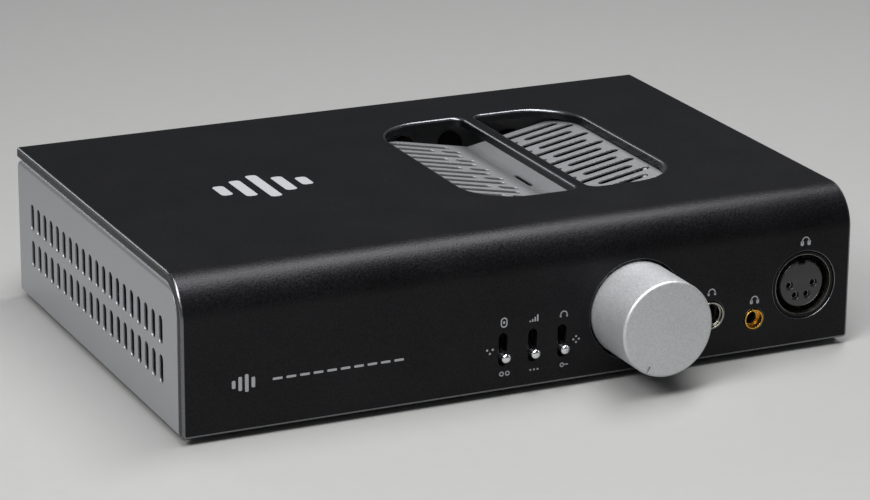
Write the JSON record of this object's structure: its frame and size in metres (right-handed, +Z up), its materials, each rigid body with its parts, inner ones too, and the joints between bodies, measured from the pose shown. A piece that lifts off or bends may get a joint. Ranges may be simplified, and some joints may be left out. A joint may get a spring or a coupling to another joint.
{
  "type": "headphone amplifier",
  "caption": "Low desktop headphone amplifier: folded black cover over a slotted silver shell, round volume knob, toggle switches, headphone sockets and a folded vent screen on top.",
  "frame": {"origin": "on the table under the middle of the object's plan, the knob and the rear sockets included", "axes": "+X to the right of someone facing the front, +Y to the back, +Z up"},
  "size_m": [0.2286, 0.1808, 0.0518],
  "materials": {
    "black_cover": "bead-blasted and black anodised, satin",
    "silver_steel": "fine satin silver",
    "blasted_aluminium": "bead-blasted, clear anodised",
    "black_aluminium": "black anodised",
    "black_metal": "black plated die casting",
    "black_plastic": "moulded nylon",
    "grey_plastic": "moulded nylon",
    "chrome": "polished plate",
    "nickel": "satin nickel plate",
    "gold": "gold flash over brass",
    "brass": "plain",
    "steel": "zinc plated",
    "zinc": "plain cast",
    "dark_steel": "varnished laminations",
    "dark_screw": "black zinc",
    "rubber": "moulded",
    "board": "glass-epoxy with dark solder mask",
    "coil_tape": "polyester tape over copper",
    "capacitor_sleeve": "shrink sleeve"
  },
  "bodies": {
    "case": {"wrap_cover": "black_cover", "inner_shell": "silver_steel", "vent_screen": "silver_steel", "base_tray": "silver_steel", "rear_panel": "silver_steel", "module_cover": "silver_steel", "main_board": "board", "transformer_core": "dark_steel", "transformer_coil": "coil_tape", "heat_sink": "black_aluminium", "pot_body": "zinc", "pot_bracket": "steel", "pot_nut": "steel", "phone_jack_body": "black_plastic", "phone_jack_ring": "nickel", "balanced_jack_body": "black_plastic", "balanced_jack_ring": "gold", "xlr_phone_shell": "black_metal", "xlr_phone_insert": "grey_plastic", "power_inlet": "black_plastic", "rocker_frame": "black_plastic", "xlr_line_left": "black_metal", "xlr_line_right": "black_metal", "line_in_upper_phono": "gold", "line_in_lower_phono": "gold", "line_out_upper_phono": "gold", "line_out_lower_phono": "gold", "input_switch_body": "black_plastic", "gain_switch_body": "black_plastic", "output_switch_body": "black_plastic", "foot_front_left": "rubber", "base_screw_front_left": "dark_screw", "board_post_front_left": "brass", "foot_front_right": "rubber", "base_screw_front_right": "dark_screw", "board_post_front_right": "brass", "foot_rear_left": "rubber", "base_screw_rear_left": "dark_screw", "board_post_rear_left": "brass", "foot_rear_right": "rubber", "base_screw_rear_right": "dark_screw", "board_post_rear_right": "brass", "filter_capacitor_1": "capacitor_sleeve", "output_transistor_1": "black_plastic", "filter_capacitor_2": "capacitor_sleeve", "output_transistor_2": "black_plastic", "filter_capacitor_3": "capacitor_sleeve", "output_transistor_3": "black_plastic", "filter_capacitor_4": "capacitor_sleeve", "output_transistor_4": "black_plastic"},
    "volume": {"volume_knob": "blasted_aluminium", "volume_shaft": "steel"},
    "input_toggle": {"input_lever": "chrome"},
    "gain_toggle": {"gain_lever": "chrome"},
    "output_toggle": {"output_lever": "chrome"},
    "mains_rocker": {"power_rocker": "black_plastic"}
  },
  "joints": [
    {"name": "volume_turn", "type": "hinge", "parent": "case", "child": "volume", "pos_m": [0.03725, -0.06945, 0.0224], "axis": [0, 1, 0], "range_deg": [0, 300]},
    {"name": "input_flip", "type": "hinge", "parent": "case", "child": "input_toggle", "pos_m": [-0.00891, -0.06145, 0.01573], "axis": [-1, 0, 0], "range_deg": [0, 25]},
    {"name": "gain_flip", "type": "hinge", "parent": "case", "child": "gain_toggle", "pos_m": [0.00125, -0.06145, 0.01573], "axis": [-1, 0, 0], "range_deg": [0, 25]},
    {"name": "output_flip", "type": "hinge", "parent": "case", "child": "output_toggle", "pos_m": [0.01141, -0.06145, 0.01573], "axis": [-1, 0, 0], "range_deg": [0, 25]},
    {"name": "power_flip", "type": "hinge", "parent": "case", "child": "mains_rocker", "pos_m": [-0.0598, 0.07895, 0.0263], "axis": [1, 0, 0], "range_deg": [0, 20]}
  ]
}
